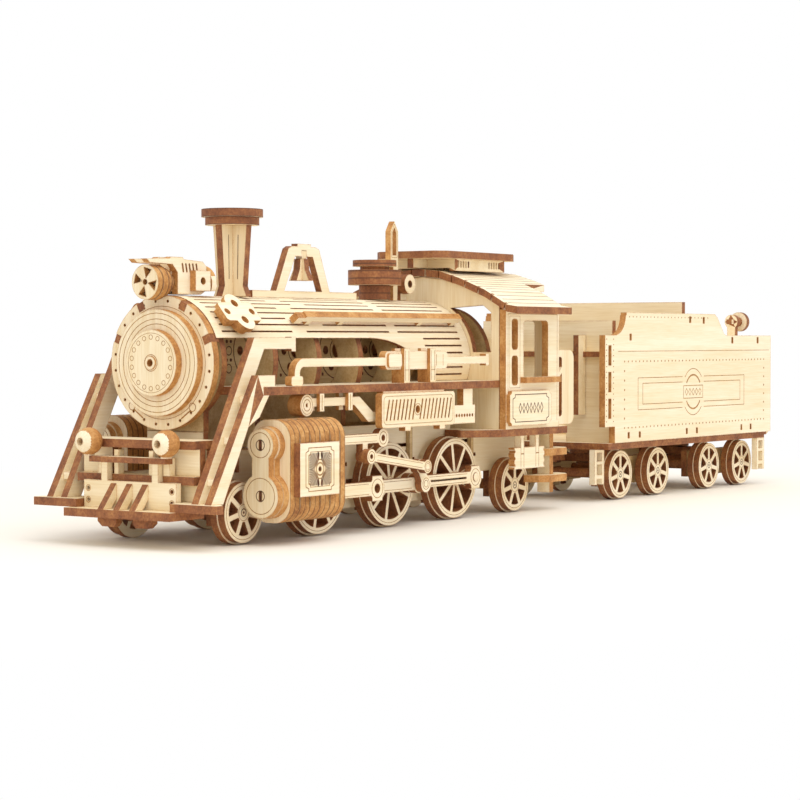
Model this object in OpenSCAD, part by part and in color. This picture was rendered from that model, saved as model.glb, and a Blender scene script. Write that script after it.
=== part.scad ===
// Wooden construction-kit steam locomotive with tender.
// Flat plywood pieces plug together; wheels, rods, pistons, bogies and drawbar move.
// +X runs from the pilot to the tender's end, Z = 0 is the rail, Y = 0 the middle plane.

/* [Sheet] */
// Thickness of the plywood sheet
sheet = 2.0; // [1.9:0.05:2.05]
// Radius of the round axle rods
axle_r = 1.5; // [1.3:0.05:1.6]
// Radial gap of a running axle
run_gap = 0.06; // [0.04:0.01:0.08]

/* [Wheels] */
// Tread radius of the driving wheels
driver_r = 10.9; // [10.7:0.05:10.9]
// Tread radius of the small wheels
small_r = 7.3; // [7.1:0.05:7.3]
// Height of every wheel flange
flange_h = 0.5; // [0.4:0.05:0.5]
// Distance between driving axles
driver_pitch = 31; // [30.8:0.1:31.2]
// Distance from a driving axle to its crank pin
crank_r = 6.6; // [6.4:0.1:6.6]

/* [Boiler] */
// Radius over the boiler planks
boiler_r = 16.4; // [16.2:0.05:16.4]
// Number of planks over the full circle
plank_count = 52; // [44:1:56]

/* [Tender] */
// Length of the tender platform
tender_len = 112; // [110:0.5:112]
// Height of the raised coal boards
coal_top = 57.5; // [56:0.1:58]

/* [Hidden] */
$fn = 64;
eps = 0.05;
gap = 0.3;

// overall marks
front_x = -153.5;
rear_x = 153.5;
boiler_z = 43.7;
shell = 1.5;
smoke_x = -136.8;
cab_front_x = -25.2;
cab_rear_x = 3.5;
cab_half = 26;
board_z = 36;
footplate_z = 22.4;

// wheels
driver_2_x = -68.5;
leading_x = -129.5;
trailing_x = -6.5;
tender_axles = [55, 79.2, 114.6, 138.8];
bogie_x = [(55 + 79.2) / 2, (114.6 + 138.8) / 2];
driver_z = driver_r + flange_h;
small_z = small_r + flange_h;
flange_y = 15.4;
tread_y = flange_y + sheet;
wheel_out = tread_y + sheet;
frame_y = 11.5;

// rods, each in its own layer beside the wheels
pin_r = 1.2;
coupling_y = wheel_out + 0.4;
main_y = coupling_y + sheet + gap;
return_y = main_y + sheet + gap;
eccentric_y = return_y + sheet + gap;
return_pin = [4, 4.7];
crosshead_x = -84.4;
link_x = -89.7;
link_z = 19.8;

// cylinders
cyl_y = 25.7;
cyl_front = -127;
cyl_rear = -105;
cyl_low = 12.05;
cyl_high = 24.2;

// tender
tender_x0 = 39.5;
tender_x1 = tender_x0 + tender_len;
side_y = 23.2;
platform_z = 16;
drawbar_x = 9;
tender_pin_x = 47;

// ---------- shared shapes ----------

// A sheet piece drawn in X and Z, lying between two Y planes.
module plate_y(y0, y1) {
    translate([0, y1, 0]) rotate([90, 0, 0]) linear_extrude(y1 - y0) children();
}

// A sheet piece drawn in Y and Z, lying between two X planes.
module plate_x(x0, x1) {
    translate([x0, 0, 0]) rotate([90, 0, 90]) linear_extrude(x1 - x0) children();
}

// A sheet piece drawn in X and Y, lying between two Z planes.
module plate_z(z0, z1) {
    translate([0, 0, z0]) linear_extrude(z1 - z0) children();
}

// A box between two corners.
module span(low, high) {
    translate(low) cube(high - low);
}

module both_sides() {
    children();
    mirror([0, 1, 0]) children();
}

// A round bar along Y.
module bar_y(x, z, r, y0, y1) {
    translate([x, y1, z]) rotate([90, 0, 0]) cylinder(r = r, h = y1 - y0);
}

// A rectangle with quarter-round corners.
module soft_square(low, high, r) {
    translate([low[0] + r, low[1]]) square([high[0] - low[0] - 2 * r, high[1] - low[1]]);
    translate([low[0], low[1] + r]) square([high[0] - low[0], high[1] - low[1] - 2 * r]);
    for (x = [low[0] + r, high[0] - r], z = [low[1] + r, high[1] - r])
        translate([x, z]) circle(r);
}

// A straight link between two eyes.
module link_bar(a, b, width) {
    d = b - a;
    translate(a) rotate(atan2(d[1], d[0])) translate([0, -width / 2]) square([norm(d), width]);
}

// ---------- wheels ----------

// The outline of a spoked disc.
module spoked_disc(r, rim, hub, spokes, spoke_w, turn) {
    difference() {
        circle(r);
        difference() {
            circle(r - rim);
            circle(hub);
            for (i = [0:spokes - 1])
                rotate(i * 360 / spokes + 90 + turn) translate([0, -spoke_w / 2]) square([r, spoke_w]);
        }
    }
}

// One axle with a flanged wheel of two discs at each end.
module wheelset(x, z, r, rim, hub, spokes, spoke_w, turn = 0) {
    translate([x, 0, z]) {
        both_sides() {
            plate_y(-tread_y, -flange_y) spoked_disc(r + flange_h, rim + flange_h, hub, spokes, spoke_w, turn);
            plate_y(-wheel_out, -tread_y) spoked_disc(r, rim, hub, spokes, spoke_w, turn);
            bar_y(0, 0, hub, -flange_y, -(frame_y + sheet + gap));
        }
        bar_y(0, 0, axle_r, -wheel_out, wheel_out);
    }
}

module small_wheels(x) {
    wheelset(x, small_z, small_r, 1.7, 2.3, 7, 1.3);
}

module driver_wheels(x) {
    wheelset(x, driver_z, driver_r, 1.6, 2.2, 9, 1.1, turn = 8.7);
}

module leading_wheels() { color("burlywood") small_wheels(leading_x); }
module trailing_wheels() { color("burlywood") small_wheels(trailing_x); }
module tender_wheels(i) { color("burlywood") small_wheels(tender_axles[i]); }
module driver_wheels_1() { color("burlywood") driver_wheels(driver_2_x - driver_pitch); }

// A crank pin fixed in a driving wheel's spokes.
module crank_pin(x, y_end) {
    both_sides() {
        bar_y(x + crank_r, driver_z, pin_r, -y_end, -wheel_out);
        bar_y(x + crank_r, driver_z, 2.6, -wheel_out, -tread_y);
    }
}

// The middle drivers carry the main crank pin and the return crank.
module driver_wheels_2() {
    pin = [driver_2_x + crank_r, driver_z];
    tip = [driver_2_x, driver_z] + return_pin;
    color("burlywood") {
        driver_wheels(driver_2_x);
        crank_pin(driver_2_x, return_y + sheet);
        both_sides() {
            plate_y(-(return_y + sheet), -return_y) {
                translate(pin) circle(2.3);
                translate(tip) circle(1.9);
                link_bar(pin, tip, 3);
            }
            bar_y(tip[0], tip[1], 0.9, -(eccentric_y + sheet), -return_y);
        }
    }
}

module driver_wheels_3() {
    x = driver_2_x + driver_pitch;
    color("burlywood") {
        driver_wheels(x);
        crank_pin(x, coupling_y + sheet + 0.2);
    }
}

// ---------- rods ----------

module coupling_rods() {
    a = [driver_2_x + crank_r, driver_z];
    b = a + [driver_pitch, 0];
    color("wheat") both_sides() plate_y(-(coupling_y + sheet), -coupling_y) difference() {
        union() {
            link_bar(a, b, 3.2);
            translate(a) circle(2.6);
            translate(b) circle(3.1);
            translate(b) square([4.2, 6.2], center = true);
        }
        for (p = [a, b]) translate(p) circle(pin_r + run_gap);
        translate([a[0] + 4.5, a[1] - 0.25]) square([driver_pitch - 9, 0.5]);
    }
}

module main_rods() {
    a = [crosshead_x, driver_z];
    b = [driver_2_x + crank_r, driver_z];
    color("wheat") both_sides() plate_y(-(main_y + sheet), -main_y) difference() {
        union() {
            link_bar(a, b, 3.4);
            translate(a) circle(2.4);
            translate(b) circle(2.6);
        }
        translate(a) circle(1);
        translate(b) circle(pin_r + run_gap);
    }
}

module eccentric_rods() {
    a = [link_x, link_z];
    b = [driver_2_x, driver_z] + return_pin;
    color("wheat") both_sides() plate_y(-(eccentric_y + sheet), -eccentric_y) difference() {
        union() {
            link_bar(a, b, 2.2);
            translate(a) circle(1.9);
            translate(b) circle(1.8);
        }
        translate(a) circle(0.6);
        translate(b) circle(0.9 + run_gap);
    }
}

// Piston rod with its crosshead, sliding in the lower cylinder.
module pistons() {
    color("wheat") both_sides() plate_y(-(cyl_y + sheet / 2), -(cyl_y - sheet / 2)) difference() {
        union() {
            translate([cyl_rear - 4, driver_z - 1.8]) square([crosshead_x - cyl_rear + 4, 3.6]);
            translate([crosshead_x, driver_z]) circle(3.2);
            translate([crosshead_x, driver_z]) square([4.4, 6.4], center = true);
        }
        translate([crosshead_x, driver_z]) circle(1.2);
    }
}

// Valve spindle of the upper cylinder, with a round eye and a drop link.
module valve_rods() {
    eye = [link_x + 7.9, cyl_high];
    color("wheat") both_sides() {
        plate_y(-(cyl_y + sheet / 2), -(cyl_y - sheet / 2)) difference() {
            union() {
                translate([cyl_rear - 10, cyl_high - 1.2]) square([eye[0] - cyl_rear + 10, 2.4]);
                translate(eye) circle(2.4);
                translate([link_x, link_z]) circle(1.5);
                translate([link_x - 1.1, link_z]) square([2.2, cyl_high - link_z]);
            }
            translate(eye) circle(0.8);
        }
    }
}

// ---------- engine frame ----------

// Three short lightening slots, one above another.
module slot_group(x, z) {
    for (i = [0:2]) translate([x + i * 1.2, z - i * 2]) square([8, 0.9]);
}

module main_frame() {
    drivers = [for (i = [-1:1]) driver_2_x + i * driver_pitch];
    color("tan") both_sides() plate_y(-(frame_y + sheet), -frame_y) difference() {
        union() {
            translate([-124, 14]) square([-104 + 124, 8.4]);
            translate([-142.4, 14]) square([20, 3]);
            translate([-104, 5.5]) square([73, 21.3]);
            translate([-31, 12]) square([39, footplate_z - 12]);
            for (x = [leading_x, trailing_x]) translate([x - 4.5, 4.5]) square([9, 12]);
            for (x = drivers) translate([x - 5, 4.5]) square([10, 10]);
        }
        for (x = drivers) translate([x, driver_z]) circle(axle_r + run_gap);
        for (x = [leading_x, trailing_x]) translate([x, small_z]) circle(axle_r + run_gap);
        for (x = [-90, -59, -28.5]) slot_group(x, 20.5);
        for (x = drivers, s = [-1, 1]) translate([x + s * 9 - 2.5, 8]) square([5, 5]);
    }
}

// Cross pieces between the frame plates.
module frame_spacers() {
    span_y = frame_y - 0.02;
    color("peru") {
        for (x = [-122, -113, -84, -53, -23, 2])
            span([x, -span_y, 16.5], [x + sheet, span_y, footplate_z - 0.1]);
        for (x = [-84, -53]) span([x, -span_y, footplate_z - 0.1], [x + sheet, span_y, 26.7]);
        span([0, -span_y, 14.4], [13, span_y, 16.5]);
        translate([drawbar_x, 0, 11.4]) cylinder(r = pin_r, h = 3.2);
        both_sides() for (p = [[-52.6, 25.5], [-22.4, footplate_z]])
            span([p[0], -(frame_y + sheet + 1.2), 14.5], [p[0] + 1.4, -(frame_y + sheet), p[1]]);
    }
}

// ---------- boiler ----------

// Height that a rib's foot stands on at a given place along the frame.
function foot_z(x) = x < -125 ? 27 : x < -105 ? footplate_z : 26.8;

module boiler_ribs() {
    rib_r = boiler_r - shell - 0.1;
    color("peru") for (x = [-132, -112, -94, -76, -58, -40]) plate_x(x, x + sheet)
        translate([0, boiler_z]) difference() {
            union() {
                circle(rib_r);
                translate([-9, foot_z(x) - boiler_z]) square([18, 35 - foot_z(x)]);
            }
            circle(8);
            translate([-sheet / 2 - 0.03, 0]) square([sheet + 0.06, boiler_r]);
        }
}

// Lengthwise web down the middle of the boiler, pierced by rings of holes.
module boiler_web() {
    color("tan") plate_y(-sheet / 2, sheet / 2) difference() {
        translate([-131.8, 36]) square([97.6, 21]);
        for (x = [-122, -103, -85, -67, -49]) for (a = [0:60:300])
            translate([x + 5 * cos(a), 46.5 + 5 * sin(a)]) circle(1.1);
        for (x = [-122, -103, -85, -67, -49]) translate([x, 46.5]) circle(2);
    }
}

// Bent plank sheet over the ribs; its lower edge sweeps down beside the firebox.
module boiler_cladding() {
    skirt_x0 = -72;
    skirt_x1 = -48;
    high_z = 49.7;
    low_z = board_z + sheet + 0.1;
    end_x = cab_front_x - 0.1;
    start_x = smoke_x + sheet + 0.2;
    step = 360 / plank_count;
    color("wheat") {
        difference() {
            plate_x(start_x, end_x) translate([0, boiler_z]) difference() {
                circle(boiler_r);
                circle(boiler_r - shell);
            }
            plate_y(-20, 20) polygon(concat(
                [[start_x - 1, 20], [start_x - 1, high_z]],
                [for (a = [0:9:90]) [skirt_x0 + (skirt_x1 - skirt_x0) * sin(a),
                                     low_z + (high_z - low_z) * cos(a)]],
                [[end_x + 1, low_z], [end_x + 1, 20]]));
            for (i = [4:plank_count / 2 - 4])
                for (run = [[start_x + 3, -104 + (i % 2) * 8], [-98 + (i % 2) * 8, -62], [-58, -29]])
                    translate([0, 0, boiler_z]) rotate([i * step, 0, 0])
                        span([run[0], boiler_r - 0.7, -0.2], [run[1], boiler_r + 1, 0.2]);
            for (i = [-2:3], s = [0, 1]) translate([0, 0, boiler_z]) mirror([0, s, 0])
                rotate([i * step, 0, 0]) span([-47, boiler_r - 0.7, -0.2], [-29, boiler_r + 1, 0.2]);
        }
        for (a = [22, 64, 116, 158]) translate([0, 0, boiler_z]) rotate([a, 0, 0])
            span([smoke_x, 14.1, -1], [start_x + 1, boiler_r - 0.3, 1]);
    }
}

module smokebox_front() {
    color("wheat") plate_x(smoke_x, smoke_x + sheet) translate([0, boiler_z]) difference() {
        circle(16.3);
        for (a = [22, 64, 116, 158]) rotate(a) translate([14.05, -1.05]) square([3, 2.1]);
        for (i = [0:23]) rotate(i * 15 + 7.5) translate([15, 0]) circle(0.35);
    }
}

module smokebox_door() {
    color("wheat") translate([0, 0, boiler_z]) {
        plate_x(smoke_x - sheet, smoke_x) circle(12.9);
        plate_x(smoke_x - 2 * sheet, smoke_x - sheet) difference() {
            circle(8);
            circle(0.9);
        }
        plate_x(smoke_x - 2 * sheet - 0.4, smoke_x - 2 * sheet) difference() {
            circle(1.6);
            circle(0.9);
        }
    }
}

// ---------- fittings on the boiler ----------

module headlamp() {
    color("sandybrown") translate([0, 0, 63.1]) {
        plate_x(-142.8, -140.8) difference() {
            circle(4.2);
            for (i = [0:3]) rotate(i * 90 + 15) polygon([[0.9, 0], [3.4, -1.3], [3.4, 1.3]]);
            circle(0.7);
        }
        plate_x(-140.8, -138.8) circle(4.3);
        plate_x(-138.8, -136.8) circle(3.6);
        plate_x(-136.8, -134.8) circle(2.4);
    }
}

// Two visor plates and the bracket block behind the lamp.
module lamp_bracket() {
    color("wheat") {
        both_sides() plate_y(-2.9, -1.1) difference() {
            polygon([[-145.5, 68.6], [-137.3, 68.9], [-136.5, 69.3], [-132.3, 69.3], [-131.9, 68.8],
                     [-124.8, 68.4], [-123.4, 67.2], [-123.4, 61.4], [-125.6, 60.3], [-134.2, 60.3],
                     [-134.2, 65.6], [-136.1, 67.5], [-144.3, 67.7]]);
            for (i = [0:4]) translate([-132.3 + i * 1.3, 65.6]) rotate(12) square([0.5, 2.2]);
            translate([-126.8, 63.6]) circle(0.9);
        }
        both_sides() plate_y(-4.7, -2.9) difference() {
            translate([-129.6, 61.2]) square([5.6, 4.9]);
            translate([-126.8, 63.6]) circle(0.9);
        }
        span([-134.7, -1.08, 61], [-129.6, 1.08, 66]);
        plate_x(-123.3, -121.5) intersection() {
            translate([0, 63]) circle(4.6);
            translate([-5, 61.2]) square([10, 8]);
        }
    }
}

// Two flared vanes crossed on the chimney's axis.
module chimney() {
    foot = boiler_z + boiler_r;
    vane = [[-4.2, foot + 2.6], [-5.3, foot], [5.3, foot], [4.2, foot + 2.6], [5.4, 78], [-5.4, 78]];
    color("tan") translate([-109.8, 0, 0]) {
        plate_y(-sheet / 2, sheet / 2) polygon(vane);
        difference() {
            plate_x(-sheet / 2, sheet / 2) polygon(vane);
            span([-2, -sheet / 2, 0], [2, sheet / 2, 100]);
        }
    }
}

module chimney_cap() {
    color("sienna") translate([-109.8, 0, 0]) {
        plate_z(78, 80) circle(6.8);
        plate_z(80, 82) circle(7.75);
    }
}

bell_x = -81.3;

// Saddle strip along the boiler top with the bell's A-frame.
module bell_frame() {
    base = boiler_z + boiler_r;
    strip = base + 1.8;
    color("wheat") plate_y(-sheet / 2, sheet / 2) difference() {
        polygon([[-103, base], [-58, base], [-58, strip], [-70.2, strip], [-74.8, 73], [-76.4, 73.6],
                 [-78.4, 73.6], [-78.4, 74.3], [-84.2, 74.3], [-84.2, 73.6], [-86.6, 73.6],
                 [-88, 72.9], [-93.2, strip], [-103, strip]]);
        polygon([[-89.8, strip], [-85.2, 71], [-77.6, 71], [-73.6, strip]]);
        translate([bell_x - 1.02, 70]) square([2.04, 2.6]);
    }
}

// The bell: a flared vane in the frame's opening and one across it, tabbed into the crossbar.
module bell() {
    half = [[1, 72.5], [1, 70.4], [1.6, 70.4], [1.9, 67.6], [3.3, 64.7]];
    outline = concat(half, [for (i = [4:-1:0]) [-half[i][0], half[i][1]]]);
    color("peru") translate([bell_x, 0, 0]) {
        plate_x(-sheet / 2, sheet / 2) polygon(outline);
        difference() {
            plate_y(-sheet / 2, sheet / 2) polygon([for (p = outline) [p[0], min(p[1], 70.4)]]);
            span([-1, -sheet, 60], [1, sheet, 75]);
        }
    }
}

module dome() {
    base = boiler_z + boiler_r + 0.1;
    color("sienna") translate([-48.2, 0, 0]) {
        plate_z(base, 64.2) circle(4.3);
        plate_z(64.2, 66.2) circle(7.3);
        plate_z(66.2, 68.3) circle(7.3);
        plate_z(68.3, 69.3) circle(4);
        plate_z(69.3, 71) circle(6);
    }
}

// Pointed whistle plate standing behind the dome.
module whistle() {
    color("wheat") plate_y(-0.9, 0.9) difference() {
            polygon([[-41.8, 71.3], [-41.8, 79.2], [-40, 82], [-38.2, 79.2], [-38.2, 71.3],
                     [-38.6, boiler_z + boiler_r], [-40.6, boiler_z + boiler_r], [-40.6, 71.3]]);
            polygon([[-40.9, 72.6], [-40.9, 78.9], [-40, 80.3], [-39.1, 78.9], [-39.1, 72.6]]);
        }
}

module steam_valve() {
    x = -35.7;
    color("burlywood") {
        difference() {
            bar_y(x, 64.7, 2.7, -3.2, 3.2);
            bar_y(x, 64.7, 1, -3.3, 3.3);
        }
        span([x - 1.5, -1, boiler_z + boiler_r + 0.1], [x + 1.5, 1, 62.1]);
    }
}

// Long rail on brackets high on each side of the boiler.
module handrails() {
    tilt = 38;
    r = boiler_r + 0.05;
    color("sandybrown") both_sides() translate([0, 0, boiler_z]) rotate([-tilt, 0, 0]) mirror([0, 1, 0]) {
        span([-100, r + 1.2, -1], [-29, r + 3.2, 0.8]);
        span([-103, r + 0.4, -1], [-100, r + 2.8, 0.8]);
        for (x = [-98, -84, -48, -32]) span([x, r, -1], [x + sheet, r + 1.2, 0.8]);
    }
}

// Ornamental two-layer sand covers lying against the boiler's shoulders.
module sand_covers() {
    tilt = 40;
    color("burlywood") both_sides() translate([-125.2, 0, boiler_z]) rotate([-tilt, 0, 0])
        mirror([0, 1, 0]) translate([0, boiler_r + 0.15, 0]) rotate([-90, 0, 0]) {
            linear_extrude(1.6) {
                square([11, 4.6], center = true);
                for (s = [-1, 1]) translate([0, s * 2.2]) circle(2.6);
            }
            translate([0, 0, 1.6]) linear_extrude(1.2) difference() {
                union() {
                    soft_square([-6.6, -2.9], [6.6, 2.9], 1);
                    for (s = [-1, 1]) translate([0, s * 2.4]) circle(3.2);
                }
                for (s = [-1, 1]) {
                    translate([s * 4.7, 0]) circle(0.9);
                    translate([0, s * 2.6]) circle(1.1);
                }
            }
        }
}

// ---------- boards, struts, tanks and pipes ----------

module running_boards() {
    color("sienna") both_sides() difference() {
        span([-130, -cab_half, board_z], [cab_front_x - 0.1, -9.6, board_z + sheet]);
        span([-131, -22.1, board_z - 1], [-121, -19.3, board_z + 3]);
        for (x = [-112, -94, -76, -58, -40]) span([x - 0.1, -15.3, 30], [x + 2.1, -9, 40]);
    }
}

// A strut sloping up from the deck to a flat end over the boards.
module inner_struts() {
    low = 11;
    color("wheat") both_sides() plate_y(-21.7, -19.7) {
        polygon([[-149.2, low], [-144.2, low], [-124.4, 47], [-113.6, 47], [-113.6, 46.4],
                 [-111.9, 46.4], [-111.9, 50], [-113.6, 50], [-113.6, 49.8], [-128.2, 49.8]]);
    }
}

module outer_struts() {
    low = 11;
    color("wheat") both_sides() {
        plate_y(-cab_half, -cab_half + sheet)
            polygon([[-149.6, low], [-145.2, low], [-135.8, 28.7], [-131.6, 30.9], [-127.9, board_z],
                     [-130.05, board_z], [-130.05, board_z + sheet], [-125.6, board_z + sheet],
                     [-125.6, 40.8], [-132.2, 40.8]]);
        for (t = [0.12, 0.5, 0.88]) translate([-146.8 + t * 15.6, 0, 13 + t * 25])
            span([-0.9, -cab_half + sheet, -0.9], [0.9, -21.7, 0.9]);
    }
}

// Air tanks with straps, and the pipe that joins each to the board.
module air_tanks() {
    y = 23.6;
    low = board_z + sheet;
    color("wheat") both_sides() {
        plate_y(-y - 1, -y + 1) {
            soft_square([-78, 41.5], [-49, 46.3], 1.4);
            translate([-112.5, 42.6]) square([35, 2.1]);
            translate([-49.5, 42.7]) square([21, 2.1]);
            translate([-30, 42.2]) square([1.6, 3.2]);
            difference() {
                translate([-112.5, 41.1]) circle(3.6);
                translate([-112.5, 41.1]) circle(1.5);
                translate([-112.5, 36]) square([5, 12]);
                translate([-117, 36]) square([6, 5.1]);
            }
            translate([-116.1, low + 2]) square([2.1, 1.2]);
            soft_square([-117.4, low], [-112.7, low + 2.4], 0.8);
        }
        for (x = [-69.5, -57.5], side = [-1, 1])
            translate([x, -y + side * 1.5, low]) translate([-1.3, -0.5, 0]) cube([2.6, 1, 9]);
        for (x = [-69.5, -57.5]) span([x - 1.3, -y - 1, low], [x + 1.3, -y + 1, 41.5]);
        plate_y(-y - 1.6, -y - 1) soft_square([-77.2, 42.1], [-71.2, 45.7], 0.8);
    }
}

// Feed pipes hung below the boards, bending down towards the side tanks.
module feed_pipes() {
    y = 24;
    color("wheat") both_sides() {
        plate_y(-y - 1, -y + 1) {
            translate([-111.5, 32.8]) square([20, 2.1]);
            polygon([[-92, 34.9], [-89.8, 34.9], [-84, 30.9], [-81.1, 30.9], [-81.1, 28.4],
                     [-86, 28.4], [-92, 32.8]]);
            difference() {
                translate([-111.7, 33.2]) circle(2.7);
                translate([-111.7, 33.2]) circle(0.5);
            }
        }
        for (x = [-106.9, -95], side = [-1, 1])
            span([x - 0.9, -y + side * 1.5 - 0.5, 31.6], [x + 0.9, -y + side * 1.5 + 0.5, board_z]);
        bar_y(-111.7, 33.2, 2.7, -y + 1, -y + 3);
    }
}

// Flat slotted tanks under the boards, and the perforated bracket behind them.
module side_tanks() {
    low = 26.7;
    color("wheat") both_sides() {
        plate_y(-28.1, -26.1) difference() {
            union() {
                soft_square([-84.4, low], [-50.8, board_z - 0.4], 1);
                for (x = [-74, -58]) translate([x, low - 1]) square([2.6, 1.1]);
            }
            for (i = [0:17]) translate([-82.6 + i * 1.68, low + 2]) rotate(-14)
                if (i != 8) square([0.5, 5.4]);
            translate([-68.2, low + 4.5]) circle(1);
        }
        span([-81, -26.1, low + 0.8], [-53, -24.1, board_z]);
        plate_y(-25.2, -23.2) difference() {
            union() {
                translate([-50.9, 26.6]) square([14.5, 5]);
                translate([-42.2, 31.6]) square([4.6, 4.4]);
            }
            for (i = [0:9]) translate([-49.4 + i * 1.3, 28.8]) circle(0.42);
        }
    }
}

// ---------- pilot ----------

module pilot_deck() {
    color("peru") {
        plate_z(9, 11) polygon(concat(
            [[-142, -20.6], [-148.6, -28.8], [-151.2, -28.8], [-151.2, -14.8], [grille_x + 1.7, -14.8]],
            [[grille_x + 1.7, 14.8], [-151.2, 14.8], [-151.2, 28.8], [-148.6, 28.8], [-142, 20.6]]));
        plate_z(7, 9) polygon([[front_x, -16.7], [front_x, 16.7], [-141, 16.7], [-141, -16.7]]);
        both_sides() plate_x(-150.4, -148.4)
            polygon([[-8.6, 7], [-8.6, 5.9], [-7.2, 4.7], [-3.4, 4.7], [-2.6, 5.6], [-2.6, 7]]);
        span([-142, -frame_y + 0.1, 11], [-140, frame_y - 0.1, 16]);
    }
}

// Front face of the pilot's upright plate.
grille_x = -148.6;

// Front plate, uprights with their rail, posts and three sloping ribs.
module pilot_grille() {
    color("wheat") {
        plate_x(grille_x, grille_x + 1.7) difference() {
            union() {
                translate([-14.6, 9]) square([29.2, 6.6]);
                for (s = [-1, 1]) translate([s * 8 - 1, 15.6]) square([2, 4.4]);
            }
            for (y = [-13.2, 13.2], z = [10.8, 13.6]) translate([y, z]) circle(0.5);
        }
        for (y = [-5, 0, 5]) plate_y(y - 0.9, y + 0.9)
            polygon([[front_x + 0.1, 9], [grille_x - 2, 9], [grille_x, 11.3], [grille_x, 15]]);
        span([grille_x - 1, -12, 20], [grille_x + 1.7, 12, 21.4]);
        for (s = [-1, 1]) {
            span([grille_x + 1.5, s * 5.5 - 0.7, 17.1], [grille_x + 3.5, s * 5.5 + 0.7, 23]);
            span([grille_x + 1.5, s * 10.3 - 1, 17.1], [grille_x + 3.5, s * 10.3 + 1, 21.4]);
        }
    }
}

// Lower shelf, upper beam and the posts between them.
module buffer_beam() {
    color("peru") {
        span([-146.8, -18.4, 15.1], [-142.1, 18.4, 17.1]);
        span([-147, -18.4, 23.5], [-137, 18.4, 25.5]);
        both_sides() {
            span([-144.5, -18.4, 11], [-142.5, -9, 23.5]);
            span([-141.8, -18.2, 20], [-139.8, -12, 23.4]);
        }
        span([-139.2, -9, 22.6], [-130, 9, 23.5]);
        span([-132, -9, 22.6], [-130.2, 9, 26.9]);
    }
}

// Two ball lamps, each a round core with a crossed outer shell.
module buffer_lamps() {
    color("burlywood") both_sides() translate([-149.4, -12.2, 24.9]) {
        difference() {
            sphere(3.3);
            rotate([0, -90, 0]) cylinder(r = 0.9, h = 5);
            span([2.4, -5, -5], [5, 5, 5]);
        }
        span([-0.9, -0.9, -3.5], [1, 0.9, -2.9]);
    }
}

// ---------- cylinders ----------

// The cross-section of one cylinder block.
module block_outline() {
    soft_square([-cyl_y - 5.9, 5.4], [-19.9, 30.2], 4.8);
}

module cylinders() {
    layers = 11;
    pitch = (cyl_rear - cyl_front) / layers;
    color("sandybrown") both_sides() difference() {
        union() {
            for (i = [0:layers - 1]) plate_x(cyl_front + i * pitch, cyl_front + (i + 1) * pitch)
                if (i % 2 == 0) block_outline();
                else intersection() {
                    block_outline();
                    translate([-31.3, 5.7]) square([20, 24.2]);
                }
            span([-118, -19.95, 17], [-112, -frame_y - sheet, 22]);
        }
        span([cyl_front + 2, -(cyl_y + 1.1), driver_z - 1.9], [cyl_rear + 1, -(cyl_y - 1.1), driver_z + 1.9]);
        span([cyl_front + 2, -(cyl_y + 1.1), cyl_high - 1.3], [cyl_rear + 1, -(cyl_y - 1.1), cyl_high + 1.3]);
    }
}

// Figure-eight end covers in two layers.
module cylinder_covers() {
    color("burlywood") both_sides() {
        plate_x(cyl_front - sheet, cyl_front) cover_outline(0.5);
        plate_x(cyl_front - 2 * sheet, cyl_front - sheet) difference() {
            cover_outline(0);
            for (z = [cyl_low, cyl_high]) translate([-cyl_y, z]) {
                translate([-0.45, -1.3]) square([0.9, 2.6]);
            }
        }
    }
}

module cover_outline(extra) {
    translate([-cyl_y, cyl_low]) circle(5.3 + extra / 2);
    translate([-cyl_y, cyl_high]) circle(3.9 + extra);
    translate([-cyl_y - 2.5 - extra / 2, cyl_low]) square([5 + extra, cyl_high - cyl_low]);
}

// Framed ornamental plate on each cylinder's outside.
module cylinder_plates() {
    low = [-125.6, 11.8];
    high = [-109.9, 24.6];
    color("wheat") both_sides() {
        plate_y(-33.5, -31.65) difference() {
            translate(low) square(high - low);
            translate((low + high) / 2) circle(0.6);
        }
    }
}

// ---------- cab ----------

// The arched roof line as [y, z] points of one half, from the crown out.
roof_line = [[0, 69.2], [7, 68.5], [13.7, 66.5], [22.2, 63.1], [29.6, 58.9], [32.8, 58.4]];

function roof_under(d) = [for (p = roof_line) [p[0], p[1] - d]];
function mirrored(points) = [for (i = [len(points) - 1:-1:0]) [-points[i][0], points[i][1]]];

// Cross wall shaped to the roof, down to a given height.
module cab_wall_outline(low) {
    top = [for (i = [0:4]) if (roof_line[i][0] < cab_half) [roof_line[i][0], roof_line[i][1] - sheet - 0.3]];
    edge = [cab_half - 0.1, 58.6];
    right = concat(top, [edge, [cab_half - 0.1, low]]);
    polygon(concat(mirrored(right), right));
}

module cab_front() {
    color("wheat") plate_x(cab_front_x, cab_front_x + sheet) difference() {
        cab_wall_outline(footplate_z + sheet);
        for (s = [-1, 1]) scale_y(s) polygon(concat(
            [for (a = [7:7:56]) [17.4 * cos(a), boiler_z + 17.4 * sin(a)]],
            [[20.6, 58.8], [23.2, 56.8], [23.2, 45.8]]));
        translate([0, boiler_z]) circle(9);
    }
}

module scale_y(s) {
    mirror([s < 0 ? 1 : 0, 0, 0]) children();
}

// Side sheets with slots, window and a framed name panel left blank.
module cab_sides() {
    x0 = cab_front_x + 0.1;
    low = footplate_z + sheet;
    color("wheat") both_sides() {
        plate_y(-cab_half - sheet, -cab_half) difference() {
            translate([x0, low]) square([cab_rear_x - x0, 57.6 - low]);
            soft_square([-22, 46.5], [-18.8, 55], 1);
            soft_square([-22, 36.6], [-18.8, 44.8], 1);
            soft_square([-15.8, 38.2], [-2.6, 54.6], 1.2);
        }
        span([-17.4, -cab_half - 2 * sheet, 37.2], [1.5, -cab_half - sheet, 38.8]);
        plate_y(-cab_half - 2 * sheet + 0.8, -cab_half - sheet) name_panel();
    }
}

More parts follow.
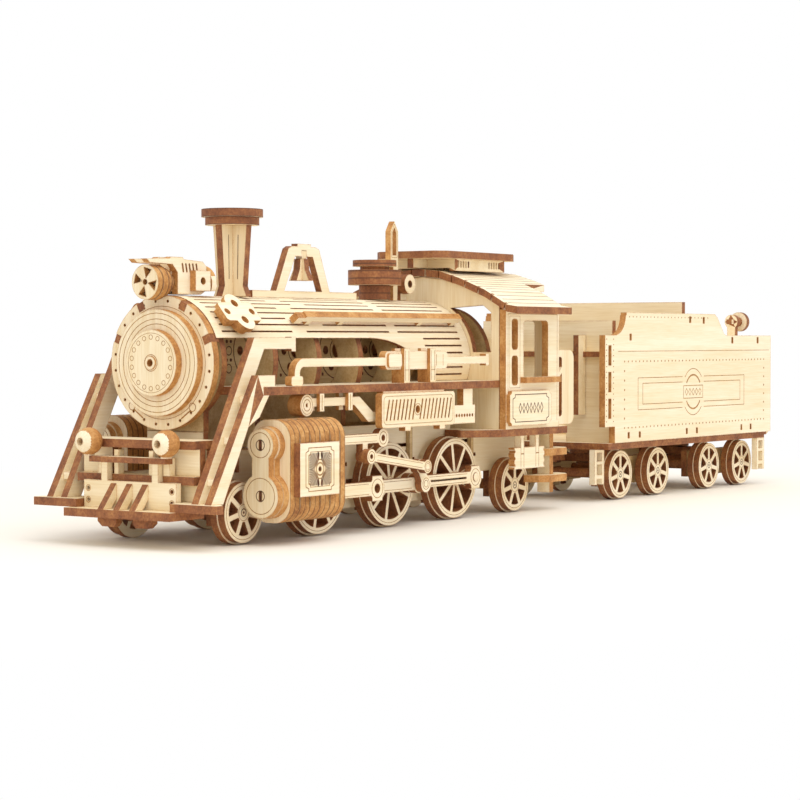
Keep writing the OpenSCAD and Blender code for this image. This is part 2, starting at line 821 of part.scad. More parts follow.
// A panel with notched corners.
module name_panel() {
    difference() {
        translate([-24.8, 25.4]) square([22.2, 9.6]);
        for (x = [-24.8, -2.6], z = [25.4, 35]) translate([x, z]) circle(1);
    }
}

// Rear corner posts and the curved grab rails behind the doorways.
module cab_rear() {
    low = footplate_z + sheet;
    rail_y = 21.1;
    color("wheat") both_sides() {
        plate_x(cab_rear_x - sheet, cab_rear_x) polygon([[-cab_half + 0.05, low], [-21, low],
            [-21, 54], [-15, 58.4], [-15, 63.4], [-22.2, 60.6], [-cab_half + 0.05, 58.4]]);
        plate_y(-rail_y - 1.9, -rail_y) difference() {
            soft_square([cab_rear_x + 0.1, low + 0.1], [20.3, 46.3], 2.5);
            difference() {
                soft_square([6, 27], [13.5, 44.2], 0.8);
                polygon([[5.9, 33], [13.6, 39.6], [13.6, 41.4], [5.9, 34.8]]);
            }
        }
    }
}

// Firebox end seen inside the cab, with gauge ring and fire door.
module backhead() {
    x = -14;
    color("tan") difference() {
        union() {
            plate_x(x, x + sheet) intersection() {
                translate([0, boiler_z]) circle(14.8);
                translate([-20, footplate_z + sheet + 1]) square([40, 50]);
            }
            plate_x(x + sheet, x + 2 * sheet) {
                translate([0, 51]) circle(3.4);
                for (s = [-1, 1]) translate([s * 7, 47]) circle(1.8);
                translate([-4, 33]) square([8, 6]);
            }
            span([x - 9, -13, footplate_z + sheet], [x + 1, -11, 34]);
            span([x - 9, 11, footplate_z + sheet], [x + 1, 13, 34]);
        }
        translate([x - 1, 0, 51]) rotate([0, 90, 0]) cylinder(r = 1, h = 10);
    }
}

module roof_outline() {
    outer = roof_line;
    inner = roof_under(sheet);
    right = concat(outer, [for (i = [len(inner) - 1:-1:0]) inner[i]]);
    polygon(right);
    mirror([1, 0, 0]) polygon(right);
}

// Bent roof sheet; notches run along its front edge and slits along its length.
module cab_roof() {
    color("wheat") difference() {
        plate_x(-27, 13.4) roof_outline();
        both_sides() {
            span([2.5, -34, 50], [14, -17, 70]);
            for (i = [0:6]) let (y = 4.4 * i + 2.4)
                span([-28, -y - 0.25, 52], [-25.6, -y + 0.25, 72]);
        }
    }
}

// Vented box and flat cover on the cab roof.
module roof_hatch() {
    color("sandybrown") {
        plate_z(72, 74) polygon([[-33, -9], [-30, -12], [4, -12], [8.5, -9.5], [8.5, 9.5], [4, 12],
                                 [-30, 12], [-33, 9]]);
        both_sides() plate_y(-10.4, -8.6) difference() {
            translate([-24, 68.6]) square([26, 3.4]);
            for (x = [-22.5, -6.5], i = [0:4]) translate([x + i * 1.3, 69.6]) square([0.6, 1.7]);
        }
        for (x = [-24, 0]) span([x, -8.6, 69.4], [x + sheet, 8.6, 72]);
        span([-30.9, -1, 69.4], [-24, 1, 72]);
    }
}

function mirrored_y(points) = [for (i = [len(points) - 1:-1:0]) [points[i][0], -points[i][1]]];

// One half of the footplate's outline, notched round the rear driving wheel and the firebox.
footplate_edge = [[-30.5, 13.7], [-34, 13.7], [-34, 19.8], [-36.9, 19.8], [-36.9, 20.8],
                  [-27, 27.9], [8.4, 27.9], [11, 25]];

module footplate() {
    color("sienna") difference() {
        plate_z(footplate_z, footplate_z + sheet) polygon(concat(mirrored_y(footplate_edge), footplate_edge));
        translate([-9, 0, 20]) cylinder(r = 1, h = 6);
    }
}

// Strapped toolboxes under the footplate, with the steps behind them.
module toolboxes() {
    color("wheat") both_sides() {
        plate_y(-26.5, -24.5) difference() {
            union() {
                translate([-18.1, 13]) square([16.1, 6]);
                for (x = [-14.9, -6.9]) translate([x, 19 - eps]) square([2, footplate_z - 19 + eps]);
            }
            for (x = [-18.1, -2], z = [14, 16, 18]) translate([x, z]) circle(0.5);
        }
        for (z = [8.4, 16]) plate_z(z, z + sheet) polygon([[-2.5, -19.9], [-1, -24], [2, -26.2],
            [11, -26.2], [14, -24], [15.3, -19.9]]);
        span([5, -24, 5.2], [7, -19.9, footplate_z]);
    }
}

// ---------- tender ----------

// Drawbar turning on the engine's rear pin.
module drawbar() {
    color("peru") {
        plate_z(12, 14) difference() {
            union() {
                for (x = [drawbar_x, tender_pin_x]) translate([x, 0]) circle(3.6);
                translate([drawbar_x, -2]) square([tender_pin_x - drawbar_x, 4]);
            }
            for (x = [drawbar_x, tender_pin_x]) translate([x, 0]) circle(pin_r + run_gap);
        }
    }
}

// Double platform, cross beams, and the pins that bogies and drawbar turn on.
module tender_platform() {
    half = side_y + 1.6;
    color("sienna") {
        plate_z(platform_z + 1, platform_z + 2) polygon([[tender_x0 - 1.6, -half], [tender_x1 - 5, -half],
            [tender_x1 - 5, half], [tender_x0 - 1.6, half]]);
        plate_z(platform_z, platform_z + 1) polygon([[tender_x0 - 1, -half + 0.3], [tender_x1 - 6, -half + 0.3],
            [tender_x1 - 6, half - 0.3], [tender_x0 - 1, half - 0.3]]);
        for (x = bogie_x) translate([x, 0, 0]) {
            translate([0, 0, 9.6]) cylinder(r = 1.8, h = platform_z - 9.6);
            translate([0, 0, 9.6]) cylinder(r = 3, h = 0.9);
            translate([0, 0, 13.3]) cylinder(r = 5, h = platform_z - 13.3);
        }
        translate([tender_pin_x, 0, 11.4]) cylinder(r = pin_r, h = platform_z - 11.4);
        translate([tender_pin_x, 0, 14.2]) cylinder(r = 2.6, h = platform_z - 14.2);
        both_sides() {
            step_ladder(tender_x0 - 1.5, 18.2);
            step_ladder(tender_x1 - 11.1, side_y - 0.8);
        }
    }
}

// Two-rung step hung below the platform.
module step_ladder(x, y) {
    plate_y(-y - 1.8, -y) difference() {
        translate([x, 5.3]) square([5.8, platform_z - 5.3]);
        for (rung = [[5.2, 7], [8.3, 11.4], [12.4, 15]])
            translate([x + 1.4, rung[0]]) square([3, rung[1] - rung[0]]);
    }
}

// Side sheets with the raised coal boards and a slotted strip at the front.
module tender_sides() {
    x0 = tender_x0 + 1.6;
    x1 = tender_x1 - 2.6;
    base = platform_z + 2;
    top = 50.6;
    curl = coal_top - top;
    color("wheat") both_sides() {
        plate_y(-side_y - sheet, -side_y) difference() {
            union() {
                translate([x0, base]) square([x1 - x0, top - base]);
                translate([x0 - 6, 23]) square([6.1, top - 23]);
                translate([x0 + 7, top - eps]) square([57, curl + eps]);
                polygon([[x0 + 64, top], [x0 + 64, coal_top], [x0 + 66, coal_top],
                         [x0 + 68, coal_top - 1.2], [x0 + 72.6, top + 0.6], [x0 + 74.2, top]]);
                difference() {
                    translate([x0 + 1, top - eps]) square([6, curl - 0.8]);
                    translate([x0 + 0.4, coal_top - 0.6]) circle(6.2);
                }
            }
            for (x = [x0 + 8, x0 + 15, x0 + 46, x0 + 53, x0 + 85, x0 + 92])
                translate([x, base + 1.2]) square([1.2, 1.8]);
            for (p = [[x0 + 9, 49], [x0 + 48, 54.6], [x0 + 57.4, 54.4], [x0 + 78, 48], [x0 + 97, 48]])
                translate(p) square([1.3, 2]);
            for (z = [25.5, 33.5, 41.5]) translate([x0 - 4, z]) square([1.8, 6]);
        }
    }
}

// Cross walls: front wall, coal bulkhead, deck, rear wall and slope sheet.
module tender_bulkheads() {
    half = side_y - 0.05;
    base = platform_z + 2;
    x0 = tender_x0 + 1.6;
    x1 = tender_x1 - 2.6;
    color("wheat") {
        plate_x(x0 + 2, x0 + 2 + sheet) difference() {
            translate([-half, base]) square([2 * half, 37]);
            translate([-7, base]) square([14, 12]);
        }
        plate_x(x0 + 47, x0 + 47 + sheet)
            translate([-half, base]) square([2 * half, 43.2]);
        span([x0 + 47 + sheet, -half, 48], [x1 - 2.2, half, 50]);
        plate_x(x1 - 2, x1) translate([-half, base]) square([2 * half, 32.4]);
        span([x0 + 0.2, -half, 44], [x0 + 2, half, 45.6]);
        both_sides() {
            span([x1, -half, 44], [x1 + 1.8, -half + 4, 46.4]);
            span([x1, -half, 28], [x1 + 1.8, -half + 4, 31]);
            plate_y(-14, -12.2) translate([x0 - 2.6, 26.4]) square([4.4, 24.2]);
        }
        both_sides() plate_y(-22.6, -20.6) difference() {
            union() {
                translate([x1, 16.9]) square([rear_x - 2.9 - x1, 5.8]);
                translate([rear_x - 2.9, 19.8]) circle(2.9);
            }
            translate([rear_x - 2.9, 19.8]) circle(0.7);
        }
    }
}

// Lanterns at the corners of the tender's rear deck: a round-headed post, a core and a disc.
module tender_lamp() {
    post_x = 143.4;
    centre_z = 55.3;
    color("burlywood") both_sides() translate([0, -13, 0]) {
        plate_x(post_x, post_x + sheet) {
            translate([-1.5, 50.05]) square([3, 5]);
            translate([0, centre_z]) circle(2.4);
        }
        plate_x(post_x - 1.6, post_x) translate([-1, centre_z - 0.8]) square([2, 1.6]);
        plate_x(post_x + sheet, post_x + 5.4) translate([0, centre_z]) circle(1.5);
        plate_x(post_x + 5.4, post_x + 7.3) translate([0, centre_z]) circle(3.3);
    }
}

// One bogie frame: side plates with axle holes, joined by a bolster.
module bogie(i) {
    color("tan") {
        axles = [tender_axles[2 * i], tender_axles[2 * i + 1]];
        x = bogie_x[i];
        both_sides() plate_y(-(frame_y + sheet), -frame_y) difference() {
            union() {
                translate([axles[0] - 4.5, 4]) square([axles[1] - axles[0] + 9, 8.6]);
                translate([x - 3.2, 2.6]) square([6.4, 3]);
            }
            for (a = axles) translate([a, small_z]) circle(axle_r + run_gap);
            for (k = [0:2]) translate([x - 4, 5.4 + k * 2.2]) square([8, 0.9]);
        }
        difference() {
            span([x - 3.4, -frame_y, 10.7], [x + 3.4, frame_y, 13.1]);
            translate([x, 0, 8]) cylinder(r = 1.8 + run_gap, h = 8);
        }
    }
}

module bogie_front() { bogie(0); }
module bogie_rear() { bogie(1); }
module tender_wheels_1() { tender_wheels(0); }
module tender_wheels_2() { tender_wheels(1); }
module tender_wheels_3() { tender_wheels(2); }
module tender_wheels_4() { tender_wheels(3); }

main_frame();
frame_spacers();
boiler_ribs();
boiler_web();
boiler_cladding();
smokebox_front();
smokebox_door();
headlamp();
lamp_bracket();
chimney();
chimney_cap();
bell_frame();
bell();
dome();
whistle();
steam_valve();
handrails();
sand_covers();
running_boards();
inner_struts();
outer_struts();
air_tanks();
feed_pipes();
side_tanks();
pilot_deck();
pilot_grille();
buffer_beam();
buffer_lamps();
cylinders();
cylinder_covers();
cylinder_plates();
pistons();
valve_rods();
cab_front();
cab_sides();
cab_rear();
backhead();
cab_roof();
roof_hatch();
footplate();
toolboxes();
leading_wheels();
driver_wheels_1();
driver_wheels_2();
driver_wheels_3();
trailing_wheels();
coupling_rods();
main_rods();
eccentric_rods();
drawbar();
tender_platform();
tender_sides();
tender_bulkheads();
tender_lamp();
bogie_front();
bogie_rear();
tender_wheels_1();
tender_wheels_2();
tender_wheels_3();
tender_wheels_4();
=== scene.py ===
# %% [markdown]
# # A plug-together plywood locomotive
# The model is a toy steam engine with its tender, cut by laser from thin plywood and pressed
# together without glue. The CAD frame gives every sheet its place and size. This lesson gives the
# sheets their veneer and scorched edges, and adds what the laser only engraves: rings, rivets,
# frames and slots. Everything is in metres, in the frame's own axes.

import math

import bmesh
import bpy
from mathutils import Matrix, Vector
from mathutils.bvhtree import BVHTree


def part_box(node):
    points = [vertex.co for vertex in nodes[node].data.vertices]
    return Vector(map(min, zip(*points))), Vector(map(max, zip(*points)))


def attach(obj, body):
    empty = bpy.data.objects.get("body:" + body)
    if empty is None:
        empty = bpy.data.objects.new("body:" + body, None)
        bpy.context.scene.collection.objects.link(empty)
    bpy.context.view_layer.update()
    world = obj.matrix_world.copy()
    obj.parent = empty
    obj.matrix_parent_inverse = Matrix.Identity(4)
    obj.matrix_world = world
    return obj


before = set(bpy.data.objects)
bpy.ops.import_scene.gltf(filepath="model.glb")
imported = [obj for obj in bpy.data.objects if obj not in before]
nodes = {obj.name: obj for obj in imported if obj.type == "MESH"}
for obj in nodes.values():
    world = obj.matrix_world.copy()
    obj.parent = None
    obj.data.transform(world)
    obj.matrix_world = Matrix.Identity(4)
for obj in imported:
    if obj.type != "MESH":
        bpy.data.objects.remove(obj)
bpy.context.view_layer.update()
MM = 0.001

# %% [markdown]
# The camera looks at the engine's front quarter from low down, a little above the running boards.
# A long lens keeps the wheels round and the far end of the tender large.

# %% Camera
scene = bpy.context.scene
CAMERA_PLACE = Vector((-0.5445, -0.3542, 0.0495))
HEADING = math.radians(34.86)
PITCH = math.radians(-1.58)
camera_data = bpy.data.cameras.new("quarter_camera")
camera_data.lens = 99.9
camera_data.sensor_width = 36
camera = bpy.data.objects.new("quarter_camera", camera_data)
scene.collection.objects.link(camera)
camera.location = CAMERA_PLACE
gaze = Vector((math.cos(HEADING) * math.cos(PITCH), math.sin(HEADING) * math.cos(PITCH), math.sin(PITCH)))
camera.rotation_euler = gaze.to_track_quat("-Z", "Y").to_euler()
scene.camera = camera
print("camera looks along", tuple(round(v, 3) for v in gaze))

# %% [markdown]
# Small helpers come first. Colours are written as sRGB hex values, the way a paint chart gives
# them, and one function turns them to the linear values that shaders add up. A second function
# adds a node with its settings and its links in one call, so each material reads as a short recipe.

# %% Colour and node helpers
def srgb(hex_text, alpha=1.0):
    channels = [int(hex_text[i:i + 2], 16) / 255 for i in (1, 3, 5)]
    linear = [c / 12.92 if c <= 0.04045 else ((c + 0.055) / 1.055) ** 2.4 for c in channels]
    return (*linear, alpha)


def add(tree, kind, settings=None, **inputs):
    node = tree.nodes.new("ShaderNode" + kind)
    for name, value in (settings or {}).items():
        setattr(node, name, value)
    for name, value in inputs.items():
        key = int(name[1:]) if name[0] == "i" and name[1:].isdigit() else name.replace("_", " ")
        socket = node.inputs[key]
        if isinstance(value, bpy.types.NodeSocket):
            tree.links.new(value, socket)
        else:
            socket.default_value = value
    return node


def blank_material(name):
    material = bpy.data.materials.new(name)
    material.use_nodes = True
    tree = material.node_tree
    for node in list(tree.nodes):
        if node.type != "OUTPUT_MATERIAL":
            tree.nodes.remove(node)
    output = next(n for n in tree.nodes if n.type == "OUTPUT_MATERIAL")
    return material, tree, output


def ramp(tree, factor, stops):
    node = add(tree, "ValToRGB", Fac=factor)
    elements = node.color_ramp.elements
    while len(elements) < len(stops):
        elements.new(0.5)
    for element, (place, colour) in zip(elements, stops):
        element.position = place
        element.color = srgb(colour)
    return node.outputs["Color"]


print("cream veneer in linear light:", [round(c, 3) for c in srgb("#F1E0BC")])

# %% [markdown]
# Basswood plywood is pale, close-grained and nearly white on a fresh face. The eye sees three
# things in it: long fibres a few tenths of a millimetre apart, broad bands of slightly warmer wood,
# and a honey-coloured halo of smoke beside every laser cut. The fibres are noise stretched along the
# grain. The halo comes from the Bevel node: close to a sharp edge its softened normal leaves the
# true one, and that difference is the mask.

# %% Veneer faces
FIBRE_WIDTH = 0.45 * MM     # drawn coarser than real fibres so that they show
FIBRE_LENGTH = 9 * MM
BAND_SCALE = 0.12           # the warmer bands are about eight times as broad as a fibre
HALO = 0.45 * MM


def smoke_halo(tree, reach):
    soft = add(tree, "Bevel", {"samples": 4}, Radius=reach)
    true = add(tree, "NewGeometry")
    match = add(tree, "VectorMath", {"operation": "DOT_PRODUCT"}, i0=soft.outputs[0], i1=true.outputs["True Normal"])
    return add(tree, "MapRange", Value=match.outputs["Value"], From_Min=1.0, From_Max=0.86).outputs["Result"]


def veneer(name, grain, light, warm, halo_colour="#B47B3C"):
    material, tree, output = blank_material(name)
    place = add(tree, "TexCoord").outputs["Object"]
    across = 1 / FIBRE_WIDTH
    along = 1 / FIBRE_LENGTH
    stretch = [along if axis == grain else across for axis in "XYZ"]
    fibre_space = add(tree, "Mapping", {}, Vector=place, Scale=stretch)
    fibres = add(tree, "TexNoise", Vector=fibre_space.outputs[0], Scale=1.0, Detail=3.0, Roughness=0.55)
    band_space = add(tree, "Mapping", {}, Vector=place, Scale=[v * BAND_SCALE for v in stretch])
    bands = add(tree, "TexNoise", Vector=band_space.outputs[0], Scale=1.0, Detail=2.0, Distortion=0.4)
    blend = add(tree, "Math", {"operation": "MULTIPLY_ADD"}, i0=fibres.outputs["Fac"], i1=0.45, i2=0.0)
    total = add(tree, "Math", {"operation": "MULTIPLY_ADD"}, i0=bands.outputs["Fac"], i1=0.55,
                i2=blend.outputs[0])
    wood = ramp(tree, total.outputs[0], [(0.32, warm), (0.62, light)])
    halo = smoke_halo(tree, HALO)
    cloud = add(tree, "TexNoise", Vector=place, Scale=700.0, Detail=2.0)
    uneven = add(tree, "MapRange", Value=cloud.outputs["Fac"], From_Min=0.3, From_Max=0.7,
                 To_Min=0.25, To_Max=1.0)
    amount = add(tree, "Math", {"operation": "MULTIPLY", "use_clamp": True}, i0=halo, i1=uneven.outputs[0])
    tinted = add(tree, "Mix", {"data_type": "RGBA"}, Factor=amount.outputs[0])
    tree.links.new(wood, tinted.inputs[6])
    tinted.inputs[7].default_value = srgb(halo_colour)
    bump = add(tree, "Bump", Strength=0.12, Distance=0.05 * MM, Height=fibres.outputs["Fac"])
    shader = add(tree, "BsdfPrincipled", Base_Color=tinted.outputs[2], Roughness=0.62,
                 Normal=bump.outputs[0])
    tree.links.new(shader.outputs[0], output.inputs[0])
    return material


veneer_long = veneer("basswood_veneer_grain_along", "X", "#F7E9CC", "#EAD4A9")
veneer_tall = veneer("basswood_veneer_grain_upright", "Z", "#F2E1BF", "#E2C897")
veneer_cross = veneer("basswood_veneer_grain_across", "Y", "#F3E2BF", "#E3CA9A")
# A darker copy of the veneer, with a darker halo, is painted shade for the parts tucked under the boiler and between
# the frames; it is not a different wood.
veneer_painted_shade = veneer("basswood_veneer_painted_shade", "X", "#D9BE8C", "#B99562", "#7E4B26")
print("veneers:", [m.name for m in (veneer_long, veneer_tall, veneer_cross, veneer_painted_shade)])

# %% [markdown]
# A laser burns its way through the sheet and leaves the cut wall charred. The wall is never one
# brown: it runs from caramel, where the beam moved fast, to nearly black in the corners, and it is
# combed by fine streaks about a third of a millimetre apart. Two scales of noise make the patches
# and the streaks. Where sheets are stacked face to face, a dark seam shows every two millimetres:
# a ping-pong wave along the stack is zero at each seam, and a narrow ramp turns it into a line.

# %% Laser-cut edges
STREAK = 0.3 * MM
PATCH = 5 * MM
SEAM_PITCH = 2 * MM


def cut_edge(name, dark, middle, light, seam_axis=None, seam_start=0.0):
    material, tree, output = blank_material(name)
    place = add(tree, "TexCoord").outputs["Object"]
    streaks = add(tree, "TexNoise", Vector=place, Scale=1 / STREAK * 0.5, Detail=2.0, Roughness=0.6)
    patches = add(tree, "TexNoise", Vector=place, Scale=1 / PATCH, Detail=3.0, Roughness=0.6)
    fine = add(tree, "Math", {"operation": "MULTIPLY"}, i0=streaks.outputs["Fac"], i1=0.4)
    total = add(tree, "Math", {"operation": "MULTIPLY_ADD"}, i0=patches.outputs["Fac"], i1=0.6,
                i2=fine.outputs[0])
    colour = ramp(tree, total.outputs[0], [(0.3, dark), (0.5, middle), (0.72, light)])
    if seam_axis:
        parts = add(tree, "SeparateXYZ", Vector=place)
        shifted = add(tree, "Math", {"operation": "SUBTRACT"}, i0=parts.outputs[seam_axis],
                      i1=seam_start * MM)
        wave = add(tree, "Math", {"operation": "PINGPONG"}, i0=shifted.outputs[0], i1=SEAM_PITCH / 2)
        seam = add(tree, "MapRange", Value=wave.outputs[0], From_Min=0.05 * MM, From_Max=0.3 * MM,
                   To_Min=0.8, To_Max=0.0)
        lined = add(tree, "Mix", {"data_type": "RGBA"}, Factor=seam.outputs[0])
        tree.links.new(colour, lined.inputs[6])
        lined.inputs[7].default_value = srgb("#4E2A14")
        colour = lined.outputs[2]
    bump = add(tree, "Bump", Strength=0.25, Distance=0.05 * MM, Height=streaks.outputs["Fac"])
    shader = add(tree, "BsdfPrincipled", Base_Color=colour, Roughness=0.7, Normal=bump.outputs[0])
    tree.links.new(shader.outputs[0], output.inputs[0])
    return material


edge_brown = cut_edge("laser_cut_edge_charred", "#5E3219", "#8F5730", "#B98048")
edge_golden = cut_edge("laser_cut_edge_golden", "#8C5526", "#BC8345", "#DBAE6E")
edge_stack = cut_edge("stacked_edges_golden", "#8C5526", "#BE8646", "#DDB070", "X", -127.0)
edge_layers = cut_edge("stacked_edges_charred", "#5E3219", "#8A522C", "#B27843", "Z", 78.0)
print("edges:", [m.name for m in (edge_brown, edge_golden, edge_stack, edge_layers)])

# %% [markdown]
# Engraving is a shallow burn. Seen from a hand's breadth away it is a thin line of toasted brown on
# the veneer, darker where the beam lingered.

# %% Engraved lines
def engraving(name, pale, deep):
    material, tree, output = blank_material(name)
    place = add(tree, "TexCoord").outputs["Object"]
    dwell = add(tree, "TexNoise", Vector=place, Scale=900.0, Detail=2.0)
    burn = ramp(tree, dwell.outputs["Fac"], [(0.35, deep), (0.65, pale)])
    shader = add(tree, "BsdfPrincipled", Base_Color=burn, Roughness=0.8)
    tree.links.new(shader.outputs[0], output.inputs[0])
    return material


line_toast = engraving("laser_engraving_toast", "#B98B4E", "#8F5F2E")
line_char = engraving("laser_engraving_char", "#6E3D1E", "#3A1C0E")
print("engravings:", line_toast.name, line_char.name)

# %% [markdown]
# Each CAD sheet has two finishes: veneer on its two broad faces and char on its cut walls. Most
# sheets have one known axis, so a triangle is a broad face if its normal lies on that axis. Where a
# node plugs sheets of several directions together, a ray sent into the wood tells them apart: it
# comes out after one sheet's thickness under a broad face, and much later under a cut wall.

# %% Which triangles are broad faces
AXIS = {"X": Vector((1, 0, 0)), "Y": Vector((0, 1, 0)), "Z": Vector((0, 0, 1))}
SHEET = 2.15 * MM           # one 2 mm sheet and a little more
BOILER_AXIS_Z = 43.7
CLADDING_INNER = 16.2


def shoulder(tilt, outward):
    # A direction on the boiler's shoulder, on the -Y side.
    a = math.radians(tilt)
    return Vector((0, -math.cos(a), math.sin(a))) if outward else Vector((0, math.sin(a), math.cos(a)))


SHEET_AXIS = {
    "X": ["boiler_ribs", "smokebox_front", "smokebox_door", "headlamp", "cylinders",
          "cylinder_covers", "cab_front", "backhead"],
    "Y": ["main_frame", "boiler_web", "bell_frame", "whistle", "steam_valve", "inner_struts",
          "air_tanks", "feed_pipes", "side_tanks", "cylinder_plates", "pistons", "valve_rods", "cab_sides",
          "coupling_rods", "main_rods", "eccentric_rods", "tender_sides",
          "bogie_front", "bogie_rear", "lamp_bracket"] + [n for n in nodes if "wheels" in n],
    "Z": ["chimney_cap", "dome", "running_boards", "footplate", "drawbar", "pilot_deck"],
}
sheet_normal = {name: AXIS[axis] for axis, names in SHEET_AXIS.items() for name in names}
sheet_normal["sand_covers"] = shoulder(40, outward=True)
sheet_normal["handrails"] = shoulder(38, outward=False)


def broad_by_axis(polygon, direction):
    normal = polygon.normal.copy()
    if polygon.center.y > 0:
        normal.y = -normal.y
    return abs(normal.dot(direction)) > 0.9


def broad_by_ray(polygon, tree):
    start = polygon.center - polygon.normal * 0.01 * MM
    hit = tree.ray_cast(start, -polygon.normal)
    return hit[3] is not None and hit[3] < SHEET


def on_armrest(polygon):
    # The armrest under the cab window is a small sheet that lies flat on the upright cab side.
    return abs(polygon.center.y) > 28.5 * MM and 37 * MM < polygon.center.z < 39 * MM


def broad_on_boiler(polygon):
    radius = math.hypot(polygon.center.y, polygon.center.z - BOILER_AXIS_Z * MM)
    return abs(polygon.normal.x) < 0.2 and radius > CLADDING_INNER * MM


def dress(name, face, edge):
    obj = nodes[name]
    mesh = obj.data
    mesh.materials.clear()
    mesh.materials.append(face)
    mesh.materials.append(edge)
    tree = BVHTree.FromPolygons([v.co for v in mesh.vertices], [tuple(p.vertices) for p in mesh.polygons])
    faces = 0
    for polygon in mesh.polygons:
        if name == "boiler_cladding":
            broad = broad_on_boiler(polygon)
        elif name == "cab_sides" and on_armrest(polygon):
            broad = abs(polygon.normal.z) > 0.9
        elif name in sheet_normal:
            broad = broad_by_axis(polygon, sheet_normal[name])
        else:
            broad = broad_by_ray(polygon, tree)
        polygon.material_index = 0 if broad else 1
        faces += broad
    return faces


EDGES = {
    "cylinders": edge_stack, "headlamp": edge_stack, "chimney_cap": edge_layers, "dome": edge_layers,
    **{n: edge_golden for n in ("cylinder_covers", "smokebox_door", "smokebox_front", "buffer_lamps",
                                "sand_covers", "handrails", "toolboxes", "lamp_bracket", "cab_sides",
                                "tender_sides", "side_tanks", "air_tanks", "feed_pipes", "whistle")},
}
# These inner parts take the darker veneer above, which paints in the shade that falls under the boiler and between
# the frames.
PAINTED_SHADE_PARTS = {"boiler_ribs", "boiler_web", "frame_spacers", "backhead", "drawbar", "bogie_front", "bogie_rear"}
UPRIGHT = {"cab_front", "cab_rear", "backhead", "smokebox_front", "smokebox_door", "chimney",
           "boiler_ribs", "cylinder_covers", "cylinders", "headlamp", "bell", "whistle"}
ACROSS = {"buffer_beam", "pilot_deck", "pilot_grille", "tender_bulkheads", "roof_hatch"}
for name in nodes:
    face = veneer_tall if name in UPRIGHT else veneer_cross if name in ACROSS else veneer_long
    found = dress(name, veneer_painted_shade if name in PAINTED_SHADE_PARTS else face, EDGES.get(name, edge_brown))
print("dressed", len(nodes), "nodes; the last had", found, "broad triangles")

# %% [markdown]
# The floor is pale paper under the model and glows to plain white further out, so that it meets the
# white room with no line, as a lit sweep does. The light is a wide soft box overhead with a weaker
# one at the front, so shadows pool under the wheels and stay soft.

# %% Floor and light
FLOOR_HALF = 6.0
floor_mesh = bpy.data.meshes.new("studio_floor")
floor_bm = bmesh.new()
bmesh.ops.create_grid(floor_bm, x_segments=1, y_segments=1, size=FLOOR_HALF)
floor_bm.to_mesh(floor_mesh)
floor_bm.free()
floor = bpy.data.objects.new("studio_floor", floor_mesh)
scene.collection.objects.link(floor)
floor_material, floor_tree, floor_output = blank_material("matte_white_paper")
paper = add(floor_tree, "BsdfPrincipled", Base_Color=srgb("#F1EBE0"), Roughness=0.9)
glow = add(floor_tree, "Emission", Color=(1, 1, 1, 1), Strength=1.0)
spot = add(floor_tree, "TexCoord").outputs["Object"]
oval = add(floor_tree, "Mapping", {}, Vector=spot, Scale=(1.0, 1.35, 1.0))
reach = add(floor_tree, "VectorMath", {"operation": "LENGTH"}, i0=oval.outputs[0])
far = add(floor_tree, "MapRange", {"interpolation_type": "SMOOTHSTEP"}, Value=reach.outputs["Value"],
          From_Min=0.14, From_Max=0.34)
sweep = add(floor_tree, "MixShader", Fac=far.outputs[0], i1=paper.outputs[0], i2=glow.outputs[0])
floor_tree.links.new(sweep.outputs[0], floor_output.inputs[0])
floor_mesh.materials.append(floor_material)

world = bpy.data.worlds.new("white_room")
scene.world = world
world.use_nodes = True
room = next(n for n in world.node_tree.nodes if n.type == "BACKGROUND")
room.inputs["Color"].default_value = (1, 1, 1, 1)
room.inputs["Strength"].default_value = 1.0
scene.view_settings.view_transform = "Standard"


def soft_box(name, place, target, size, power):
    light = bpy.data.lights.new(name, "AREA")
    light.size = size
    light.energy = power
    obj = bpy.data.objects.new(name, light)
    scene.collection.objects.link(obj)
    obj.location = place
    obj.rotation_euler = (Vector(target) - Vector(place)).to_track_quat("-Z", "Y").to_euler()
    return obj


soft_box("overhead_box", (-0.1, -0.35, 0.75), (0, 0, 0.03), 0.7, 3.2)
soft_box("front_box", (-0.75, -0.15, 0.35), (-0.1, 0, 0.04), 0.4, 0.5)

# %% [markdown]
# Engraved figures are drawn once, flat, on a bmesh: bars, rings and dots with a little depth, so that
# each is a closed solid that sits in the veneer and stands a hair proud of it. A placing matrix then
# turns the flat drawing onto its sheet, and the same drawing serves the left and the right side.

# %% Drawing tools
SINK = 0.12 * MM
PROUD = 0.03 * MM
DEPTH = SINK + PROUD
MIDDLE = (PROUD - SINK) / 2


def bar(bm, a, b, width):
    a, b = Vector(a) * MM, Vector(b) * MM
    run = b - a
    turn = Matrix.Rotation(math.atan2(run.y, run.x), 4, "Z")
    size = Matrix.Diagonal((run.length + width * MM * 0.5, width * MM, DEPTH, 1))
    middle = (a + b) / 2
    place = Matrix.Translation((middle.x, middle.y, MIDDLE))
    bmesh.ops.create_cube(bm, size=1.0, matrix=place @ turn @ size)


def ring(bm, centre, radius, width, start=0.0, sweep=360.0, steps=40):
    # A rectangle standing on its radius, spun about the centre.
    a = math.radians(start)
    section = bmesh.ops.create_grid(bm, x_segments=1, y_segments=1, size=0.5)["verts"]
    flat = Matrix.Diagonal((width * MM, DEPTH, 1, 1))
    stand = Matrix.Rotation(math.radians(90), 4, "X")
    place = (Matrix.Translation((centre[0] * MM, centre[1] * MM, 0)) @ Matrix.Rotation(a, 4, "Z")
             @ Matrix.Translation((radius * MM, 0, MIDDLE)))
    bmesh.ops.transform(bm, matrix=place @ stand @ flat, verts=section)
    faces = list({f for v in section for f in v.link_faces})
    edges = list({e for f in faces for e in f.edges})
    full = sweep >= 360
    if full:
        bmesh.ops.delete(bm, geom=faces, context="FACES_ONLY")
    bmesh.ops.spin(bm, geom=edges if full else faces, cent=(centre[0] * MM, centre[1] * MM, 0), axis=(0, 0, 1),
                   angle=math.radians(sweep), steps=steps, use_merge=full, use_duplicate=False)


